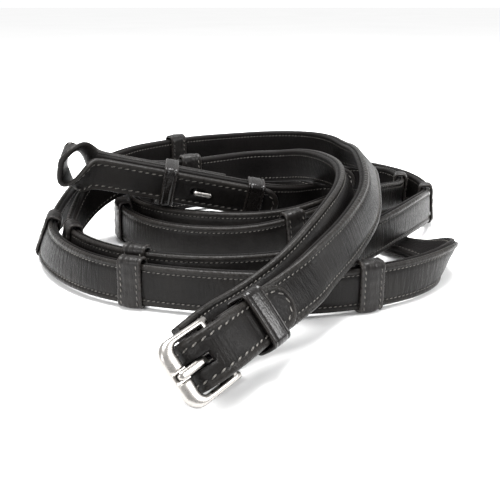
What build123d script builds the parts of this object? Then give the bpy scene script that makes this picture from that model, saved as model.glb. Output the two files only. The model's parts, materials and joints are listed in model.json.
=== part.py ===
"""Leather reins: two equal halves, buckled together at the centre and coiled on the ground.

The coil lies on Z = 0. Each half is a strap of face leather, webbing and lining, with stitched
hand stops along it and a folded billet at its far end that takes the bit ring.
"""
from build123d import *
import os
from math import atan2, cos, degrees, radians, sin, tan

os.makedirs("parts", exist_ok=True)

# ---------------------------------------------------------------- driving sizes, millimetres

strap_width = 16.0
skin_thickness = 1.5          # the face leather and the lining, each
web_thickness = 0.5           # the webbing sewn between them
web_inset = 0.7               # the webbing stops this far inside each edge
web_width = strap_width - 2 * web_inset
layer_gap = 0.25              # between two layers
half_strap = web_thickness / 2 + layer_gap + skin_thickness

billet_width = strap_width - 1.0
billet_thickness = 2.6
ring_wall = 1.3               # leather of the keepers and the hand stops
ring_play = 0.2               # between such a ring and what it goes round

stop_length = 9.5

# Route of each half, from the centre buckle to the bit: x, y, height of the strap's middle,
# and its lean in degrees. A lean of 0 stands the strap on edge, -90 lays it face down.
chape_half_bends = [
    (18, -79, 20.5, 30), (24, -72, 24.3, 20), (36, -53, 28.5, 20),
    (48, -24, 33.1, 22), (52, 11, 36.5, 32), (55, 46, 35.1, 46), (54, 76, 29.6, 36),
    (46, 102, 28.2, 12), (32, 118, 27, 0), (12, 121, 26.6, 0), (-10, 114, 26.5, 0),
    (-31, 102, 27.2, 1), (-48, 88, 27.3, 2), (-63, 73, 27.3, 5), (-77, 50, 25.5, 12),
    (-88, 24, 14.5, 20), (-89, -3, 10.3, 24), (-77, -27, 9.9, 16), (-57, -46, 9.8, 6),
    (-32, -55, 9.8, 0), (-6, -60, 9.8, 0), (20, -61, 9.8, 0), (44, -55, 9.8, 0),
    (65, -44, 9.9, 0), (78, -29, 10, -14), (80, -13, 8.1, -54), (72, 1, 4.1, -88),
    (61, 14, 3.6, -90), (53, 28, 3.5, -90), (47, 42, 3.6, -90), (42, 56, 4.3, -88),
    (35, 69, 7.4, -58), (22, 79, 10.6, -14), (3, 83, 9.8, 0), (-19, 79, 9.8, 0),
    (-41, 70, 9.8, 0), (-57, 57, 9.8, 0), (-58, 39, 9.8, 0), (-45, 23, 9.8, 0),
    (-24, 13.5, 9.8, 0), (0, 10.5, 9.8, 0), (20, 14, 11.1, 0), (35, 22, 14.1, 0),
    (44, 32, 15, 0), (44.5, 42, 15, 0), (36, 46, 14.6, 0), (28, 42, 14.8, 3),
    (20, 33, 16.5, 8), (10, 25.5, 19, 12),
]
billet_half_bends = [
    (-4, -86, 13.3, 40), (4, -79, 15.9, 39), (15, -71, 21.8, 36),
    (28, -51, 30.2, 30), (38, -26, 34.5, 25), (41, 2, 35.1, 24), (37, 29, 33.2, 20),
    (28, 51, 30.6, 11), (15, 63, 27, 2), (1, 63, 26.7, 0), (-14, 54, 26.7, 0),
    (-29, 44, 26.7, 0), (-45, 38.5, 26.9, 0), (-60, 36, 28.8, 2),
    (-73, 28, 22.4, 7), (-80, 14, 12.5, 11), (-79, -6, 10.1, 12), (-67.5, -23, 10, 8),
    (-50, -36, 9.9, 2), (-28, -43, 9.8, 0),
    (-4, -44, 9.8, 0), (20, -37, 9.9, 0), (44, -20, 12.5, 0), (64, 0, 16.1, 0),
    (79, 24, 15.1, 3), (89, 48, 10.5, 6), (92, 73, 9.9, 5), (84, 98, 9.8, 0),
    (58, 124, 9.8, 0), (30, 131, 9.8, 0), (0, 128, 9.8, 0), (-28, 118, 9.8, 0),
    (-52, 103, 9.8, 0), (-66, 76, 9.8, 0), (-66, 47, 9.8, 0), (-59, 21, 9.9, 2),
    (-45, 1, 9.9, 2), (-24, -9, 9.8, 0), (2, -9, 9.8, 0), (26, 3, 13, 0),
    (46, 24, 15, 0), (64, 45, 14.5, -3), (77, 62, 10.9, -3), (82, 80, 9.9, 0),
    (79, 97, 9.8, 0), (66.5, 104, 9.8, 0),
]
chape_half_bit_end = (-69, 17, 36.2, 12)
billet_half_bit_end = (-24, 95, 9.8, 0)

# How far along its strap each hand stop is sewn.
chape_half_stops = (330, 440, 512, 600, 804, 845)
billet_half_stops = (246, 337, 380, 471, 559, 641, 726, 841, 936, 1036)

# Centre buckle: X runs from the front bar towards the straps, Z out of the visible face.
buckle = Plane(origin=(-20.4, -126.5, 12.9), x_dir=(0.6, 0.795, 0.09), z_dir=(0.587, -0.514, 0.625))
frame_length = 20.2
frame_half_width = 10.3
opening_half_width = 8.0
front_bar = 5.4
frame_half_thickness = 1.5
heel_x = 18.2
heel_radius = 1.6
chape_play = 0.05             # between the chape and the strap sewn into it
chape_inner = half_strap + chape_play
chape_outer = chape_inner + 1.4
chape_skived = 0.7            # thickness of its tails
strap_start = 24.0            # both straps end this far from the front bar, or lap from lap_start
chape_end = 29.0
straight_end = 52.0
lap_start = 19.0
lap_side = 3.9                # the lapped strap lies this much off the billet's middle
lap_skew = 0.1
lap_run = 13.0
fold_front = 8.2              # the billet turns back under the frame here
fold_bottom = -8.1
billet_end = 30.0             # its lower run is sewn to the lapped strap up to here
tongue_half_width = 1.3
groove_floor = 0.8
centre_keeper_start, centre_keeper_end = 33.0, 41.0
billet_lift = half_strap + 0.2 + billet_thickness / 2    # its middle above the strap's middle
billet_rise = 1.4             # its bend over the tongue stands this much higher still
tongue_slot = (6.1, 12.5)     # where the tongue comes through the billet
tongue_relief = (15.2, 4.1)   # the billet's back is hollowed to here, so that the tongue can lift
billet_tip = 51.0

# Bit end: X runs from the fold round the bit ring back along the rein.
rein_end = 26.0
bit_billet_tip = 110.0
bit_lap_end = 84.0
bit_side = half_strap + 0.35 + billet_thickness / 2
loop_half_depth = 8.4
loop_end = 11.8               # middle of the leather at the loop's far end
loop_twist = {"chape_half": 93.0, "billet_half": 0.0}   # the loop's turn about its rein
twist_start, twist_end = 25.0, 13.0
fixed_keeper_start, fixed_keeper_end = 56.0, 62.0
runner_start, runner_end = 94.0, 102.0
stud_x = 71.0


# ---------------------------------------------------------------- routes and sections

def bend_radii(points):
    """The largest even radius at each inner point that its two runs leave room for."""
    radii = []
    for before, here, after in zip(points, points[1:], points[2:]):
        into, out = here - before, after - here
        reach = 0.45 * min(into.length, out.length)
        radii.append(reach / tan(radians(into.get_angle(out)) / 2))
    return radii


def stations(route):
    """Centre, direction and lean at the ends and the middle of every bend of a route."""
    points = [Vector(*step[:3]) for step in route]
    leans = [step[3] for step in route]
    path = FilletPolyline(*points, radius=bend_radii(points))
    bends = [edge for edge in path.edges() if edge.geom_type == GeomType.CIRCLE]
    found = [(points[0], path % 0, leans[0])]
    for index, bend in enumerate(bends, 1):
        into = (points[index] - points[index - 1]).length
        out = (points[index + 1] - points[index]).length
        reach = 0.45 * min(into, out)
        first = leans[index] + (leans[index - 1] - leans[index]) * reach / into
        last = leans[index] + (leans[index + 1] - leans[index]) * reach / out
        for share in (0, 0.25, 0.5, 0.75, 1):
            lean = first * (1 - share) ** 2 + 2 * leans[index] * share * (1 - share) + last * share ** 2
            found.append((bend @ share, bend % share, lean))
    found.append((points[-1], path % 1, leans[-1]))
    return found


def stretch(found, start, end):
    """The stations of a route between two distances along it, with its cut ends added."""
    kept, travelled = [], 0.0
    for (here, way, lean), (there, next_way, next_lean) in zip(found, found[1:]):
        step = (there - here).length
        for distance in (start, end):
            share = (distance - travelled) / step
            if 0 <= share < 1:
                kept.append((here + (there - here) * share,
                             (way + (next_way - way) * share).normalized(),
                             lean + (next_lean - lean) * share))
        travelled += step
        if start < travelled < end:
            kept.append((there, next_way, next_lean))
    return kept


def section(centre, way, lean):
    """Plane across a strap: its x runs up the strap's width and its y out of the face leather."""
    level = (Vector(0, 0, 1) - way * way.Z).normalized()
    outward = way.cross(level)
    tilt = radians(lean)
    return Plane(origin=centre, x_dir=level * cos(tilt) - outward * sin(tilt), z_dir=way)


def layer_sections(found, width, low, high):
    """Outlines of a flat layer between two depths of a strap, one at each of its stations."""
    outlines = []
    for station in found:
        with BuildSketch(section(*station)) as outline:
            with Locations((0, (low + high) / 2)):
                Rectangle(width, high - low)
        outlines.append(outline.sketch.face())
    return outlines


def save(builder, label):
    builder.part.label = label
    export_step(builder.part, f"parts/{label}.step")


def lean_of(place):
    """Lean of a strap that lies along an assembly's x with its width along its y."""
    way = place.x_dir
    level = (Vector(0, 0, 1) - way * way.Z).normalized()
    outward = way.cross(level)
    return degrees(atan2(-place.y_dir.dot(outward), place.y_dir.dot(level)))


def side_plane(place):
    """Plane along an assembly, x along it and y out of its visible face."""
    return Plane(origin=place.origin, x_dir=place.x_dir, z_dir=-place.y_dir)


def cross_plane(place, along):
    """Plane across an assembly, x over its width and y out of its visible face."""
    return Plane(origin=place.origin + place.x_dir * along, x_dir=place.y_dir, z_dir=place.x_dir)


def keeper(place, label, start, end, width, low, high):
    """Leather loop round a stack of straps that is width wide and lies between two depths."""
    outside = ring_play + ring_wall
    with BuildPart() as loop:
        with BuildSketch(cross_plane(place, start)):
            with Locations((0, (low + high) / 2)):
                RectangleRounded(width + 2 * outside, high - low + 2 * outside, 1.8)
                RectangleRounded(width + 2 * ring_play, high - low + 2 * ring_play, 0.5, mode=Mode.SUBTRACT)
        extrude(amount=end - start)
    save(loop, label)


def local_point(place, x, y, z):
    return place.origin + place.x_dir * x + place.y_dir * y + place.z_dir * z


# ---------------------------------------------------------------- the two straps

def strap(half, found):
    skin_low = web_thickness / 2 + layer_gap
    with BuildPart() as face_leather:
        loft(layer_sections(found, strap_width, skin_low, half_strap), ruled=True)
    save(face_leather, f"{half}_face_leather")
    with BuildPart() as webbing:
        loft(layer_sections(found, web_width, -web_thickness / 2, web_thickness / 2), ruled=True)
    save(webbing, f"{half}_webbing")
    with BuildPart() as lining:
        loft(layer_sections(found, strap_width, -half_strap, -skin_low), ruled=True)
    save(lining, f"{half}_lining")


def hand_stops(half, found, distances):
    for number, distance in enumerate(distances, 1):
        held = stretch(found, distance - stop_length / 2, distance + stop_length / 2)
        outside = ring_play + ring_wall
        with BuildPart() as stop:
            loft(layer_sections(held, strap_width + 2 * outside, -half_strap - outside,
                                half_strap + outside), ruled=True)
            loft(layer_sections(held, strap_width + 2 * ring_play, -half_strap - ring_play,
                                half_strap + ring_play), ruled=True, mode=Mode.SUBTRACT)
        save(stop, f"{half}_hand_stop_{number}")


# ---------------------------------------------------------------- centre buckle

def buckle_frame():
    """Flat steel frame whose heel bar the chape wraps and whose front bar takes the tongue."""
    with BuildPart() as frame:
        with BuildSketch(buckle):
            with BuildLine():
                FilletPolyline(
                    (frame_length, -frame_half_width), (0, -frame_half_width), (0, frame_half_width),
                    (frame_length, frame_half_width), (frame_length, opening_half_width),
                    (front_bar, opening_half_width), (front_bar, -opening_half_width),
                    (frame_length, -opening_half_width),
                    radius=[1.1, 4.5, 4.5, 1.1, 1.1, 2, 2, 1.1], close=True)
            make_face()
        extrude(amount=frame_half_thickness, both=True)
        with BuildSketch(side_plane(buckle)):
            with Locations((heel_x, 0)):
                Circle(heel_radius)
        extrude(amount=opening_half_width + 1, both=True)
        with BuildSketch(side_plane(buckle)):
            with Locations((front_bar / 2, groove_floor + 1)):
                Rectangle(front_bar + 1, 2)
        extrude(amount=tongue_half_width + 0.35, both=True, mode=Mode.SUBTRACT)
    save(frame, "buckle_frame")


def tongue():
    """Steel tongue: an eye round the heel bar and a prong that lies in the front bar's groove."""
    underside, top = groove_floor + 0.2, groove_floor + 2.0
    with BuildPart() as prong:
        with BuildSketch(side_plane(buckle)):
            with Locations((heel_x, 0)):
                Circle(heel_radius + 1.3)
            with Locations(((0.9 + heel_x) / 2, (underside + top) / 2)):
                Rectangle(heel_x - 0.9, top - underside)
            with Locations((heel_x, 0)):
                Circle(heel_radius + 0.12, mode=Mode.SUBTRACT)
        extrude(amount=tongue_half_width, both=True)
    save(prong, "buckle_tongue")


def chape():
    """Leather loop round the heel bar, its two skived tails sewn to the strap between them."""
    tail = chape_inner + chape_skived
    with BuildPart() as loop:
        with BuildSketch(side_plane(buckle)):
            with BuildLine():
                Polyline((heel_x, chape_outer), (strap_start, chape_outer), (chape_end, tail),
                         (chape_end, chape_inner), (heel_x, chape_inner))
                ThreePointArc((heel_x, chape_inner), (heel_x - chape_inner, 0), (heel_x, -chape_inner))
                Polyline((heel_x, -chape_inner), (chape_end, -chape_inner), (chape_end, -tail),
                         (strap_start, -chape_outer), (heel_x, -chape_outer))
                ThreePointArc((heel_x, -chape_outer), (heel_x - chape_outer, 0), (heel_x, chape_outer))
            make_face()
        extrude(amount=billet_width / 2, both=True)
        with BuildSketch(side_plane(buckle)):
            with Locations((heel_x, 0)):
                Rectangle(8, 9)
        extrude(amount=tongue_half_width + 0.5, both=True, mode=Mode.SUBTRACT)
    save(loop, "centre_chape")


def centre_billet():
    """Leather end that comes up under the front bar, over the heel bar and into the keeper."""
    with BuildPart() as billet:
        with BuildSketch(side_plane(buckle)):
            with BuildLine():
                points = [Vector(*point) for point in (
                    (billet_tip, billet_lift + 1), (45, billet_lift), (31.5, billet_lift),
                    (26, billet_lift + 1.8), (18, billet_lift + 2.3),
                    (12.8, billet_lift + billet_rise), (fold_front, 0.6),
                    (fold_front, fold_bottom), (billet_end, fold_bottom))]
                FilletPolyline(*points, radius=bend_radii(points))
                offset(amount=billet_thickness / 2)
            make_face()
        extrude(amount=billet_width / 2, both=True)
        with BuildSketch(buckle):
            with Locations((billet_tip - 50, 0)):
                SlotOverall(104, billet_width)
        extrude(amount=20, both=True, mode=Mode.INTERSECT)
        with BuildSketch(side_plane(buckle)):
            for start, end, top in ((*tongue_slot, 5.7), (tongue_slot[1] - 1, *tongue_relief)):
                with Locations((start, -1.3)):
                    Rectangle(end - start, top + 1.3, align=(Align.MIN, Align.MIN))
        extrude(amount=tongue_half_width + 0.5, both=True, mode=Mode.SUBTRACT)
    save(billet, "centre_billet")


# ---------------------------------------------------------------- bit ends

def bit_place(found):
    """Plane of a bit end, its x back along the rein from the fold that takes the bit ring."""
    end = section(*found[-1])
    back = -end.z_dir
    return Plane(origin=end.origin - back * rein_end, x_dir=back, z_dir=-end.y_dir)


def turned_point(place, turn, x, across, out):
    """Place of a point of a bit end's loop, which is turned about the rein."""
    return local_point(place, x, across * cos(turn) - out * sin(turn),
                       across * sin(turn) + out * cos(turn))


def billet_sections(place, twist):
    """Outlines of the doubled leather, from its tip round the loop to its sewn end."""
    path = FilletPolyline(
        (bit_billet_tip, bit_side), (27, bit_side), (20.5, loop_half_depth), (loop_end, 6.5),
        (loop_end, -6.5), (20.5, -loop_half_depth), (27, -bit_side), (bit_lap_end, -bit_side),
        radius=[6, 7, 6, 6, 7, 6])
    outlines = []
    for number, edge in enumerate(path.edges()):
        shares = (0, 1) if edge.length > 30 else (0.25, 0.5, 0.75, 1)
        for share in shares if number == 0 else [share for share in shares if share]:
            here, way = edge @ share, edge % share
            past_strap = min(max((twist_start - here.X) / (twist_start - twist_end), 0), 1)
            turn = radians(twist * past_strap)
            centre, ahead, beside = (turned_point(place, turn, *spot) for spot in (
                (here.X, 0, here.Y), (here.X + way.X, 0, here.Y + way.Y), (here.X, 1, here.Y)))
            across = Plane(origin=centre, x_dir=beside - centre, z_dir=ahead - centre)
            with BuildSketch(across) as outline:
                Rectangle(billet_width, billet_thickness)
            outlines.append(outline.sketch.face())
    return outlines


def bit_billet(half, place):
    """One leather strap, doubled round the bit ring: sewn behind the rein, hooked in front."""
    outlines = billet_sections(place, loop_twist[half])
    with BuildPart() as billet:
        loft(outlines, ruled=True)
        with BuildSketch(place):
            with Locations((bit_billet_tip - 63, 0)):
                SlotOverall(130, billet_width)
            with Locations((30, 0)):
                Rectangle(120, 60)
        extrude(amount=20, both=True, mode=Mode.INTERSECT)
        with BuildSketch(place):
            with Locations((stud_x + 1.5, 0)):
                SlotOverall(7, 2.8)
        extrude(amount=bit_side + billet_thickness, mode=Mode.SUBTRACT)
    save(billet, f"{half}_bit_billet")


def hook_stud(half, place):
    """Steel stud on the lining: a base, a post through the billet's slot, and a hook."""
    top = bit_side + billet_thickness / 2 + 0.3
    with BuildPart() as stud:
        with BuildSketch(place.offset(half_strap + 0.05)):
            with Locations((stud_x, 0)):
                Circle(3)
        extrude(amount=0.25)
        with BuildSketch(place.offset(half_strap + 0.05)):
            with Locations((stud_x, 0)):
                Circle(1.1)
        extrude(amount=top - half_strap)
        with BuildSketch(place.offset(top)):
            with Locations((stud_x + 2.9, 0)):
                SlotOverall(8, 2.4)
        extrude(amount=1.5)
    save(stud, f"{half}_hook_stud")


def stud_rivet(half, place):
    with BuildPart() as rivet:
        with BuildSketch(place.offset(-half_strap - 0.3)):
            with Locations((stud_x, 0)):
                Circle(2.8)
        extrude(amount=0.25)
    save(rivet, f"{half}_stud_rivet")


def bit_end(half, place):
    bit_billet(half, place)
    hook_stud(half, place)
    stud_rivet(half, place)
    front = bit_side + billet_thickness / 2
    keeper(place, f"{half}_fixed_keeper", fixed_keeper_start, fixed_keeper_end, strap_width, -front, front)
    keeper(place, f"{half}_runner_keeper", runner_start, runner_end, strap_width, -half_strap, front)


# ---------------------------------------------------------------- the reins

chape_half = [
    (*local_point(buckle, strap_start, 0, 0), lean_of(buckle)),
    (*local_point(buckle, straight_end, 0, 0), lean_of(buckle)),
    *chape_half_bends, chape_half_bit_end]
lap_height = fold_bottom - billet_thickness / 2 - 0.15 - half_strap
billet_half = [
    (*local_point(buckle, lap_start, lap_side, lap_height), lean_of(buckle)),
    (*local_point(buckle, lap_start + lap_run, lap_side + lap_run * lap_skew, lap_height),
     lean_of(buckle)),
    *billet_half_bends, billet_half_bit_end]

for half, route, distances in (("chape_half", chape_half, chape_half_stops),
                               ("billet_half", billet_half, billet_half_stops)):
    radii = bend_radii([Vector(*step[:3]) for step in route])
    print(half, "bend radii", [round(radius) for radius in radii])
    found = stations(route)
    length = sum((b[0] - a[0]).length for a, b in zip(found, found[1:]))
    print(half, "strap length", round(length))
    strap(half, found)
    hand_stops(half, found, distances)
    bit_end(half, bit_place(found))

buckle_frame()
tongue()
chape()
centre_billet()
keeper(buckle, "centre_keeper", centre_keeper_start, centre_keeper_end, strap_width,
       -half_strap, billet_lift + billet_thickness / 2)
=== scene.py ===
"""Leather reins, as they look: two padded straps buckled together and lying in a loose coil.

Lengths are in metres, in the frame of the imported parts. X is right, Y is away from the camera
and Z is up.
"""

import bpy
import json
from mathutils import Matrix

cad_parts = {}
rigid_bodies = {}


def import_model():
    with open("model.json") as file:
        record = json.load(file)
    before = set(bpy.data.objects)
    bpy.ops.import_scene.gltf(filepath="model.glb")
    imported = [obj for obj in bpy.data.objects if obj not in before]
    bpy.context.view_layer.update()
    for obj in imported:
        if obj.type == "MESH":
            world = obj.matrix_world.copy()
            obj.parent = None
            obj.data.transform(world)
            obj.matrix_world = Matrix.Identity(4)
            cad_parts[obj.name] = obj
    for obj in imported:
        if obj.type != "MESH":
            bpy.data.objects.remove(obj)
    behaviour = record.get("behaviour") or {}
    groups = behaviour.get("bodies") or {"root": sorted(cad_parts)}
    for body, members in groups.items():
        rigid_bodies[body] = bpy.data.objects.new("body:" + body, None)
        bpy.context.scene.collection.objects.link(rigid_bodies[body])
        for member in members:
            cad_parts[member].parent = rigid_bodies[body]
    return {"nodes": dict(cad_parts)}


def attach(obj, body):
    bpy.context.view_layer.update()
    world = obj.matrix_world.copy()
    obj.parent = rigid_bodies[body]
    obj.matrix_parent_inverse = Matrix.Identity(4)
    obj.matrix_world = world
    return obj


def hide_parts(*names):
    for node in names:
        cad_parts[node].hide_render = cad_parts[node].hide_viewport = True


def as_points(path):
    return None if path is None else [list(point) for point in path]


bl_info = {
    "name": "Leather reins",
    "version": (1, 0, 0),
    "blender": (4, 5, 0),
    "location": "3D View > Sidebar > Reins",
    "description": "Builds a coiled pair of stitched leather reins round its packed parts",
    "category": "Object",
}

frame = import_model()

import json
from math import cos, hypot, pi, radians, sin

import bmesh
import bpy
from bpy.props import FloatProperty, FloatVectorProperty, PointerProperty
from mathutils import Vector, noise

MM = 0.001
HALVES = ("chape_half", "billet_half")

# ---------------------------------------------------------------- places and routes


class Place:
    """An assembly's own axes: x along it, y over its width, z out of its visible face."""

    def __init__(self, origin, x, z):
        self.origin, self.x, self.z = Vector(origin), Vector(x).normalized(), Vector(z).normalized()
        self.x = (self.x - self.z * self.x.dot(self.z)).normalized()
        self.y = self.z.cross(self.x)

    def at(self, x, y=0.0, z=0.0):
        return self.origin + self.x * x + self.y * y + self.z * z


BUCKLE = Place((-0.0204, -0.1265, 0.0129), (0.6, 0.795, 0.09), (0.587, -0.514, 0.625))

# The middle of each strap, from the centre buckle to the bit, and its lean in degrees. A lean
# of 0 stands the strap on edge, -90 lays it face down.
CHAPE_HALF_BENDS = [
    (0.018, -0.079, 0.0205, 30), (0.024, -0.072, 0.0243, 20), (0.036, -0.053, 0.0285, 20),
    (0.048, -0.024, 0.0331, 22), (0.052, 0.011, 0.0365, 32), (0.055, 0.046, 0.0351, 46),
    (0.054, 0.076, 0.0296, 36), (0.046, 0.102, 0.0282, 12), (0.032, 0.118, 0.027, 0),
    (0.012, 0.121, 0.0266, 0), (-0.01, 0.114, 0.0265, 0), (-0.031, 0.102, 0.0272, 1),
    (-0.048, 0.088, 0.0273, 2), (-0.063, 0.073, 0.0273, 5), (-0.077, 0.05, 0.0255, 12),
    (-0.088, 0.024, 0.0145, 20), (-0.089, -0.003, 0.0103, 24), (-0.077, -0.027, 0.0099, 16),
    (-0.057, -0.046, 0.0098, 6), (-0.032, -0.055, 0.0098, 0), (-0.006, -0.06, 0.0098, 0),
    (0.02, -0.061, 0.0098, 0), (0.044, -0.055, 0.0098, 0), (0.065, -0.044, 0.0099, 0),
    (0.078, -0.029, 0.01, -14), (0.08, -0.013, 0.0081, -54), (0.072, 0.001, 0.0041, -88),
    (0.061, 0.014, 0.0036, -90), (0.053, 0.028, 0.0035, -90), (0.047, 0.042, 0.0036, -90),
    (0.042, 0.056, 0.0043, -88), (0.035, 0.069, 0.0074, -58), (0.022, 0.079, 0.0106, -14),
    (0.003, 0.083, 0.0098, 0), (-0.019, 0.079, 0.0098, 0), (-0.041, 0.07, 0.0098, 0),
    (-0.057, 0.057, 0.0098, 0), (-0.058, 0.039, 0.0098, 0), (-0.045, 0.023, 0.0098, 0),
    (-0.024, 0.0135, 0.0098, 0), (0.0, 0.0105, 0.0098, 0), (0.02, 0.014, 0.0111, 0),
    (0.035, 0.022, 0.0141, 0), (0.044, 0.032, 0.015, 0), (0.0445, 0.042, 0.015, 0),
    (0.036, 0.046, 0.0146, 0), (0.028, 0.042, 0.0148, 3), (0.02, 0.033, 0.0165, 8),
    (0.01, 0.0255, 0.019, 12),
]
BILLET_HALF_BENDS = [
    (-0.004, -0.086, 0.0133, 40), (0.004, -0.079, 0.0159, 39), (0.015, -0.071, 0.0218, 36),
    (0.028, -0.051, 0.0302, 30), (0.038, -0.026, 0.0345, 25), (0.041, 0.002, 0.0351, 24),
    (0.037, 0.029, 0.0332, 20), (0.028, 0.051, 0.0306, 11), (0.015, 0.063, 0.027, 2),
    (0.001, 0.063, 0.0267, 0), (-0.014, 0.054, 0.0267, 0), (-0.029, 0.044, 0.0267, 0),
    (-0.045, 0.0385, 0.0269, 0), (-0.06, 0.036, 0.0288, 2), (-0.073, 0.028, 0.0224, 7),
    (-0.08, 0.014, 0.0125, 11), (-0.079, -0.006, 0.0101, 12), (-0.0675, -0.023, 0.01, 8),
    (-0.05, -0.036, 0.0099, 2), (-0.028, -0.043, 0.0098, 0), (-0.004, -0.044, 0.0098, 0),
    (0.02, -0.037, 0.0099, 0), (0.044, -0.02, 0.0125, 0), (0.064, 0.0, 0.0161, 0),
    (0.079, 0.024, 0.0151, 3), (0.089, 0.048, 0.0105, 6), (0.092, 0.073, 0.0099, 5),
    (0.084, 0.098, 0.0098, 0), (0.058, 0.124, 0.0098, 0), (0.03, 0.131, 0.0098, 0),
    (0.0, 0.128, 0.0098, 0), (-0.028, 0.118, 0.0098, 0), (-0.052, 0.103, 0.0098, 0),
    (-0.066, 0.076, 0.0098, 0), (-0.066, 0.047, 0.0098, 0), (-0.059, 0.021, 0.0099, 2),
    (-0.045, 0.001, 0.0099, 2), (-0.024, -0.009, 0.0098, 0), (0.002, -0.009, 0.0098, 0),
    (0.026, 0.003, 0.013, 0), (0.046, 0.024, 0.015, 0), (0.064, 0.045, 0.0145, -3),
    (0.077, 0.062, 0.0109, -3), (0.082, 0.08, 0.0099, 0), (0.079, 0.097, 0.0098, 0),
    (0.0665, 0.104, 0.0098, 0),
]
BIT_ENDS = {"chape_half": (-0.069, 0.017, 0.0362, 12), "billet_half": (-0.024, 0.095, 0.0098, 0)}
BUCKLE_LEAN = 38.7

# A strap's first or last run that is long and straight has one more point on it.
ROUTES = {
    "chape_half": [
        (*BUCKLE.at(0.024), BUCKLE_LEAN), (*BUCKLE.at(0.0421), BUCKLE_LEAN),
        (*BUCKLE.at(0.052), BUCKLE_LEAN), *CHAPE_HALF_BENDS,
        (-0.0024, 0.0242, 0.0217, 12), BIT_ENDS["chape_half"]],
    "billet_half": [
        (*BUCKLE.at(0.019, 0.0039, -0.01155), BUCKLE_LEAN),
        (*BUCKLE.at(0.032, 0.0052, -0.01155), BUCKLE_LEAN), *BILLET_HALF_BENDS,
        (0.0523, 0.1026, 0.0098, 0), BIT_ENDS["billet_half"]],
}
LOOP_TURN = {"chape_half": 93.0, "billet_half": 0.0}   # degrees about the rein
LOOP_TURN_START, LOOP_TURN_RUN = 0.025, 0.012          # from there towards the loop's far end

# How far along its strap each hand stop is sewn.
HAND_STOPS = {
    "chape_half": (0.33, 0.44, 0.512, 0.6, 0.804, 0.845),
    "billet_half": (0.246, 0.337, 0.38, 0.471, 0.559, 0.641, 0.726, 0.841, 0.936, 1.036),
}


class Run:
    """A line that leather or steel follows, with its width and outward directions."""

    def __init__(self, centres, across, outs=None):
        """across gives the width direction at each point from its number and the way there.

        outs, the outward directions, are square to both unless they are given too.
        """
        self.centres, self.ways, self.across, self.outs, self.along = centres, [], [], [], [0.0]
        for a, b in zip(centres, centres[1:]):
            self.along.append(self.along[-1] + (b - a).length)
        last = len(centres) - 1
        for i in range(last + 1):
            way = (centres[min(i + 1, last)] - centres[max(i - 1, 0)]).normalized()
            width = across(i, way)
            if not outs:
                width = (width - way * width.dot(way)).normalized()
            self.ways.append(way)
            self.across.append(width)
            self.outs.append(outs[i] if outs else way.cross(width))
        self.length = self.along[-1]

    def at(self, distance):
        """Centre, width direction, outward direction and way at a distance along the run."""
        distance = min(max(distance, 0.0), self.length)
        low, high = 0, len(self.along) - 1
        while high - low > 1:
            middle = (low + high) // 2
            if self.along[middle] <= distance:
                low = middle
            else:
                high = middle
        share = (distance - self.along[low]) / (self.along[high] - self.along[low])
        return tuple(
            line[low].lerp(line[high], share) if line is self.centres
            else line[low].lerp(line[high], share).normalized()
            for line in (self.centres, self.across, self.outs, self.ways))

    def point(self, distance, width, out):
        centre, across, outward, _ = self.at(distance)
        return centre + across * width + outward * out

    def between(self, start, end):
        """The run's own distances between two others, with those two."""
        inner = [d for d in self.along if start + 1e-5 < d < end - 1e-5]
        return [start, *inner, end]


def spline_points(name, points, resolution):
    """Points of a smooth curve whose control points are given, as Blender evaluates it."""
    curve = bpy.data.curves.new(name, "CURVE")
    curve.dimensions, curve.resolution_u = "3D", resolution
    spline = curve.splines.new("NURBS")
    spline.points.add(len(points) - 1)
    for held, point in zip(spline.points, points):
        held.co = (*point, 1.0)
    spline.order_u = 3
    spline.use_endpoint_u = True
    holder = bpy.data.objects.new(name, curve)
    bpy.context.collection.objects.link(holder)
    bpy.context.view_layer.update()
    graph = bpy.context.evaluated_depsgraph_get()
    line = bpy.data.meshes.new_from_object(holder.evaluated_get(graph))
    found = [vertex.co.copy() for vertex in line.vertices]
    bpy.data.objects.remove(holder)
    bpy.data.curves.remove(curve)
    bpy.data.meshes.remove(line)
    return found


def strap_run(half, resolution=12):
    """The run of a strap: its points, and its width direction leaned as the route says."""
    route = ROUTES[half]
    centres = spline_points(half, [step[:3] for step in route], resolution)
    leans = spline_points(
        half, [(number, step[3], 0.0) for number, step in enumerate(route)], resolution)

    def across(number, way):
        level = (Vector((0, 0, 1)) - way * way.z).normalized()
        lean = radians(leans[number].y)
        return level * cos(lean) - way.cross(level) * sin(lean)

    return Run(centres, across)


def folded_run(place, points, across, resolution=10):
    """A run in an assembly's x-z plane, its width along the direction across."""
    line = spline_points("fold", [place.at(x * MM, 0, z * MM) for x, z in points], resolution)
    return Run(line, lambda number, way: across)


def turned_run(place, points, turn, resolution=10):
    """A bit end's run: in the assembly's x-z plane, but its loop is turned about the rein."""
    flat = [place.at(x * MM, 0, z * MM) for x, z in points]
    line = [point - place.origin for point in spline_points("loop", flat, resolution)]
    plane = [(spot.dot(place.x), spot.dot(place.z)) for spot in line]
    centres, widths, outs = [], [], []
    for i, (x, z) in enumerate(plane):
        here = radians(turn) * min(max((LOOP_TURN_START - x) / LOOP_TURN_RUN, 0.0), 1.0)
        up, out = place.y * cos(here) + place.z * sin(here), place.z * cos(here) - place.y * sin(here)
        x0, z0 = plane[max(i - 1, 0)]
        x1, z1 = plane[min(i + 1, len(plane) - 1)]
        way = (place.x * (x1 - x0) + out * (z1 - z0)).normalized()
        centres.append(place.origin + place.x * x + out * z)
        widths.append(-up)
        outs.append(way.cross(-up))
    return Run(centres, lambda number, way: widths[number], outs)


# ---------------------------------------------------------------- meshes


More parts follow.
